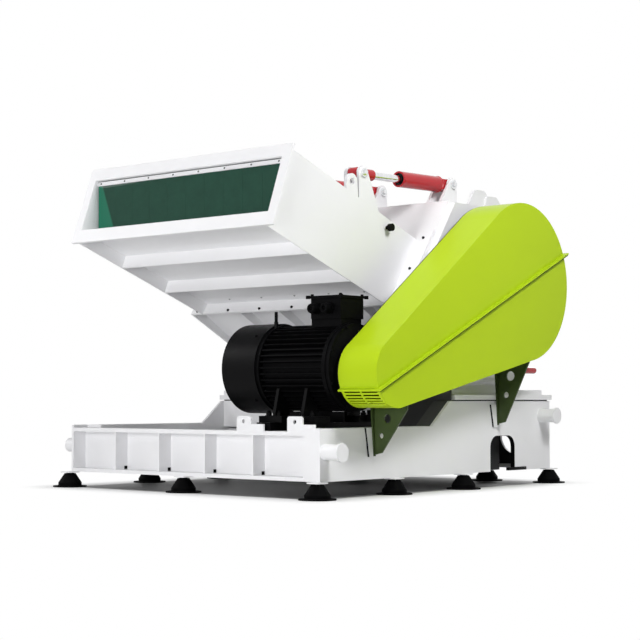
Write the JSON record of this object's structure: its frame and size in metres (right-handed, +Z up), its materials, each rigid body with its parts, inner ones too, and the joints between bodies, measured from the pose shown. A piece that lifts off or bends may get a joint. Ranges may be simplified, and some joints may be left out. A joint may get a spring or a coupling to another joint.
{
  "type": "plastic crusher",
  "caption": "Wide-mouth plastic crusher on a steel base with pads: inclined feed hopper that tilts on hydraulic cylinders, foot-mounted motor and closed belt guard.",
  "frame": {"origin": "middle of the bounding box in plan, on the floor under the pads", "axes": "+X along the motor shaft to the belt guard side, -Y to the feed mouth, +Z up"},
  "size_m": [2.8238, 3.012, 2.2802],
  "materials": {
    "white_paint": "satin",
    "black_paint": "satin",
    "pad_rubber": "matte",
    "guard_green": "gloss",
    "bracket_olive": "satin",
    "cylinder_red": "gloss",
    "bright_steel": "polished",
    "curtain_green": "gloss"
  },
  "bodies": {
    "machine": {"base_front_beam": "white_paint", "base_right_beam": "white_paint", "base_right_core": "white_paint", "base_left_beam": "white_paint", "base_rear_beam": "white_paint", "base_cross_beams": "white_paint", "bed_front_plate": "white_paint", "bed_end_cover": "black_paint", "bed_plates": "white_paint", "motor_table": "white_paint", "trunnions": "white_paint", "pads": "pad_rubber", "foot_plates": "white_paint", "motor_frame": "black_paint", "motor_feet": "black_paint", "motor_fan_cowl": "black_paint", "motor_end_shield": "black_paint", "motor_terminal_box": "black_paint", "motor_rails": "black_paint", "motor_eye_bolt": "black_paint", "guard_back_plate": "black_paint", "guard_upper_cover": "guard_green", "guard_lower_cover": "guard_green", "guard_bracket_front": "bracket_olive", "guard_bracket_rear": "bracket_olive", "lower_housing": "white_paint", "upper_housing": "white_paint", "housing_front_plate": "white_paint", "housing_lugs": "white_paint", "rear_lugs": "white_paint", "screen_cylinder": "cylinder_red", "housing_hinge": "white_paint", "barrel_pins": "bright_steel"},
    "hopper": {"hopper_chute": "white_paint", "mouth_flange": "white_paint", "hopper_ribs": "white_paint", "hopper_rear_flange": "white_paint", "hopper_lugs": "white_paint", "lifting_eyes": "white_paint", "hopper_hinge": "white_paint", "curtain_bar": "white_paint", "curtain": "curtain_green", "hopper_knob": "black_paint", "rod_pins": "bright_steel"},
    "cylinder_barrel_1": {"barrel_1": "cylinder_red"},
    "cylinder_rod_1": {"rod_1": "bright_steel"},
    "cylinder_barrel_2": {"barrel_2": "cylinder_red"},
    "cylinder_rod_2": {"rod_2": "bright_steel"},
    "cylinder_barrel_3": {"barrel_3": "cylinder_red"},
    "cylinder_rod_3": {"rod_3": "bright_steel"},
    "cylinder_barrel_4": {"barrel_4": "cylinder_red"},
    "cylinder_rod_4": {"rod_4": "bright_steel"}
  },
  "joints": [
    {"name": "hopper_tilt", "type": "hinge", "parent": "machine", "child": "hopper", "pos_m": [-0.118, 0.15743, 1.88175], "axis": [-1, 0, 0], "range_deg": [0, 25]},
    {"name": "barrel_swing_1", "type": "hinge", "parent": "machine", "child": "cylinder_barrel_1", "pos_m": [-0.951, 0.538, 2.204], "axis": [-1, 0, 0], "range_deg": [0, 18]},
    {"name": "rod_slide_1", "type": "slide", "parent": "cylinder_barrel_1", "child": "cylinder_rod_1", "axis": [0, -0.9997, -0.0248], "range_m": [-0.158, 0]},
    {"name": "barrel_swing_2", "type": "hinge", "parent": "machine", "child": "cylinder_barrel_2", "pos_m": [-0.3, 0.538, 2.204], "axis": [-1, 0, 0], "range_deg": [0, 18]},
    {"name": "rod_slide_2", "type": "slide", "parent": "cylinder_barrel_2", "child": "cylinder_rod_2", "axis": [0, -0.9997, -0.0248], "range_m": [-0.158, 0]},
    {"name": "barrel_swing_3", "type": "hinge", "parent": "machine", "child": "cylinder_barrel_3", "pos_m": [0.064, 0.538, 2.204], "axis": [-1, 0, 0], "range_deg": [0, 18]},
    {"name": "rod_slide_3", "type": "slide", "parent": "cylinder_barrel_3", "child": "cylinder_rod_3", "axis": [0, -0.9997, -0.0248], "range_m": [-0.158, 0]},
    {"name": "barrel_swing_4", "type": "hinge", "parent": "machine", "child": "cylinder_barrel_4", "pos_m": [0.715, 0.538, 2.204], "axis": [-1, 0, 0], "range_deg": [0, 18]},
    {"name": "rod_slide_4", "type": "slide", "parent": "cylinder_barrel_4", "child": "cylinder_rod_4", "axis": [0, -0.9997, -0.0248], "range_m": [-0.158, 0]}
  ],
  "couplings": [
    {"joint": "barrel_swing_1", "follows": "hopper_tilt", "ratio": 0.64521},
    {"joint": "rod_slide_1", "follows": "hopper_tilt", "m_per_rad": -0.35526},
    {"joint": "barrel_swing_2", "follows": "hopper_tilt", "ratio": 0.64521},
    {"joint": "rod_slide_2", "follows": "hopper_tilt", "m_per_rad": -0.35526},
    {"joint": "barrel_swing_3", "follows": "hopper_tilt", "ratio": 0.64521},
    {"joint": "rod_slide_3", "follows": "hopper_tilt", "m_per_rad": -0.35526},
    {"joint": "barrel_swing_4", "follows": "hopper_tilt", "ratio": 0.64521},
    {"joint": "rod_slide_4", "follows": "hopper_tilt", "m_per_rad": -0.35526}
  ]
}
